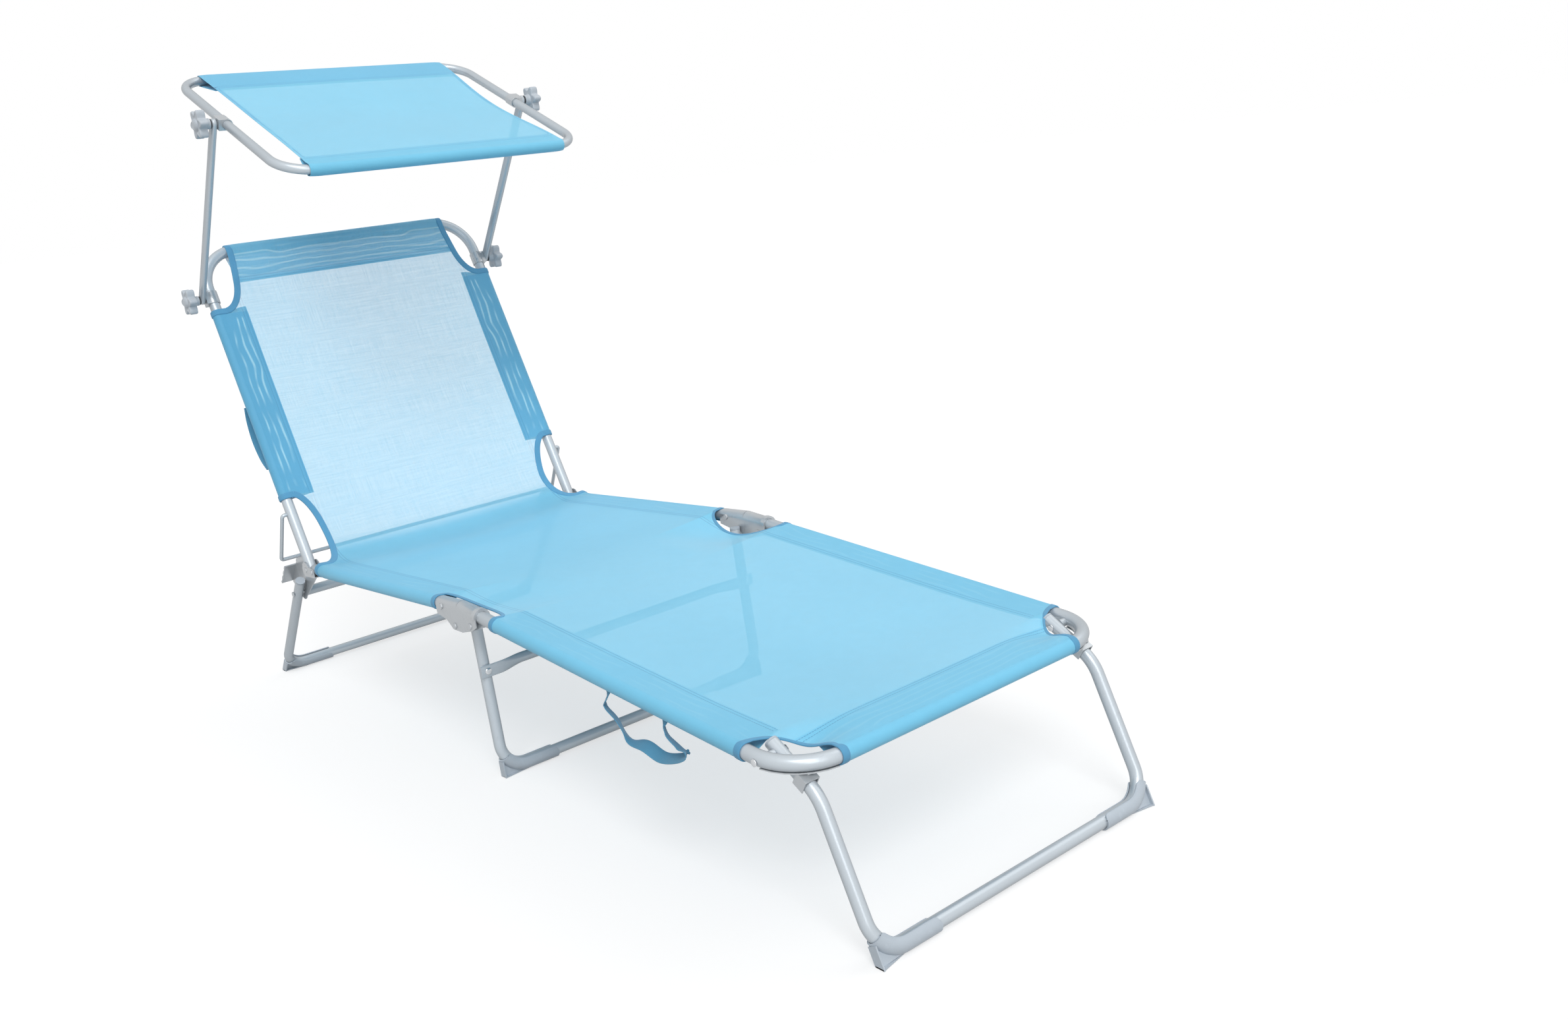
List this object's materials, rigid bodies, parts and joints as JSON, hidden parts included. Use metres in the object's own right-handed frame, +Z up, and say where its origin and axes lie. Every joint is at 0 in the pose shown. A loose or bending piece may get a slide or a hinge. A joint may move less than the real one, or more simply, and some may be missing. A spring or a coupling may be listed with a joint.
{
  "type": "sun lounger with canopy",
  "caption": "Folding sun lounger with a reclining back, folding legs and a tilting sun canopy on two clamped arms.",
  "frame": {"origin": "on the floor under the middle of the bounding box", "axes": "+Z up, +Y from the foot end towards the head end, +X across"},
  "size_m": [0.6588, 1.734, 1.1488],
  "materials": {
    "tube": "satin",
    "plate": "satin",
    "shoe": "matte",
    "knob": "matte",
    "black": "matte",
    "sling": "woven",
    "back": "woven",
    "webbing": "woven"
  },
  "bodies": {
    "seat_frame": {"seat_rail_left": "tube", "seat_rail_right": "tube", "mid_hinge_bracket_left": "plate", "mid_hinge_bracket_right": "plate", "ratchet_bracket_left": "plate", "ratchet_bracket_right": "plate", "rear_cross_tube": "tube", "seat_sling": "sling"},
    "foot_frame": {"foot_frame_tube": "tube", "front_leg_catch_left": "plate", "front_leg_catch_right": "plate", "foot_sling": "sling", "carry_strap": "webbing"},
    "front_leg": {"front_leg_tube": "tube", "front_shoe_left": "shoe", "front_shoe_right": "shoe", "front_leg_plug_left": "shoe", "front_leg_plug_right": "shoe"},
    "mid_leg": {"mid_leg_tube": "tube", "mid_leg_brace": "tube", "mid_shoe_left": "shoe", "mid_shoe_right": "shoe", "mid_leg_plug_left": "shoe", "mid_leg_plug_right": "shoe"},
    "rear_leg": {"rear_leg_tube": "tube", "rear_shoe_left": "shoe", "rear_shoe_right": "shoe", "rear_leg_plug_left": "shoe", "rear_leg_plug_right": "shoe"},
    "back_frame": {"back_frame_tube": "tube", "arm_clamp_left": "plate", "arm_clamp_right": "plate", "back_sling": "back", "tie_loop": "webbing"},
    "stand": {"wire_stand": "tube"},
    "canopy_arms": {"canopy_arm_left": "tube", "canopy_arm_right": "tube", "arm_washer_left": "black", "arm_washer_right": "black", "canopy_washer_left": "black", "canopy_washer_right": "black"},
    "canopy_frame": {"canopy_frame_tube": "tube", "canopy_joint_dowel": "tube", "canopy_clip_left": "plate", "canopy_clip_right": "plate", "canopy_cloth": "sling"},
    "arm_knob_l": {"arm_knob_left": "knob"},
    "arm_knob_r": {"arm_knob_right": "knob"},
    "canopy_knob_l": {"canopy_knob_left": "knob"},
    "canopy_knob_r": {"canopy_knob_right": "knob"}
  },
  "joints": [
    {"name": "foot_fold", "type": "hinge", "parent": "seat_frame", "child": "foot_frame", "pos_m": [0, -0.05476, 0.26783], "axis": [1, 0, 0], "range_deg": [0, 150]},
    {"name": "front_leg_fold", "type": "hinge", "parent": "foot_frame", "child": "front_leg", "pos_m": [0, -0.71876, 0.22787], "axis": [1, 0, 0], "range_deg": [0, 105]},
    {"name": "mid_leg_fold", "type": "hinge", "parent": "seat_frame", "child": "mid_leg", "pos_m": [0, -0.00376, 0.25938], "axis": [1, 0, 0], "range_deg": [0, 83.4]},
    {"name": "rear_leg_fold", "type": "hinge", "parent": "seat_frame", "child": "rear_leg", "pos_m": [0, 0.67924, 0.192], "axis": [1, 0, 0], "range_deg": [-125, 0]},
    {"name": "back_tilt", "type": "hinge", "parent": "seat_frame", "child": "back_frame", "pos_m": [0, 0.58224, 0.256], "axis": [1, 0, 0], "range_deg": [-62, 24]},
    {"name": "stand_swing", "type": "hinge", "parent": "back_frame", "child": "stand", "pos_m": [0, 0.62925, 0.35545], "axis": [1, 0, 0], "range_deg": [-24, 62]},
    {"name": "arm_swing", "type": "hinge", "parent": "back_frame", "child": "canopy_arms", "pos_m": [0, 0.81643, 0.75144], "axis": [1, 0, 0], "range_deg": [-70, 45]},
    {"name": "canopy_tilt", "type": "hinge", "parent": "canopy_arms", "child": "canopy_frame", "pos_m": [0, 0.56924, 1.05141], "axis": [1, 0, 0], "range_deg": [-40, 40]},
    {"name": "arm_knob_turn_l", "type": "hinge", "parent": "back_frame", "child": "arm_knob_l", "pos_m": [-0.315, 0.81643, 0.75144], "axis": [1, 0, 0], "continuous": true},
    {"name": "arm_knob_turn_r", "type": "hinge", "parent": "back_frame", "child": "arm_knob_r", "pos_m": [0.315, 0.81643, 0.75144], "axis": [1, 0, 0], "continuous": true},
    {"name": "canopy_knob_turn_l", "type": "hinge", "parent": "canopy_frame", "child": "canopy_knob_l", "pos_m": [-0.315, 0.56924, 1.05141], "axis": [1, 0, 0], "continuous": true},
    {"name": "canopy_knob_turn_r", "type": "hinge", "parent": "canopy_frame", "child": "canopy_knob_r", "pos_m": [0.315, 0.56924, 1.05141], "axis": [1, 0, 0], "continuous": true}
  ],
  "couplings": [
    {"joint": "front_leg_fold", "follows": "foot_fold", "ratio": 0.7},
    {"joint": "mid_leg_fold", "follows": "foot_fold", "ratio": 0.556},
    {"joint": "stand_swing", "follows": "back_tilt", "ratio": -1}
  ]
}
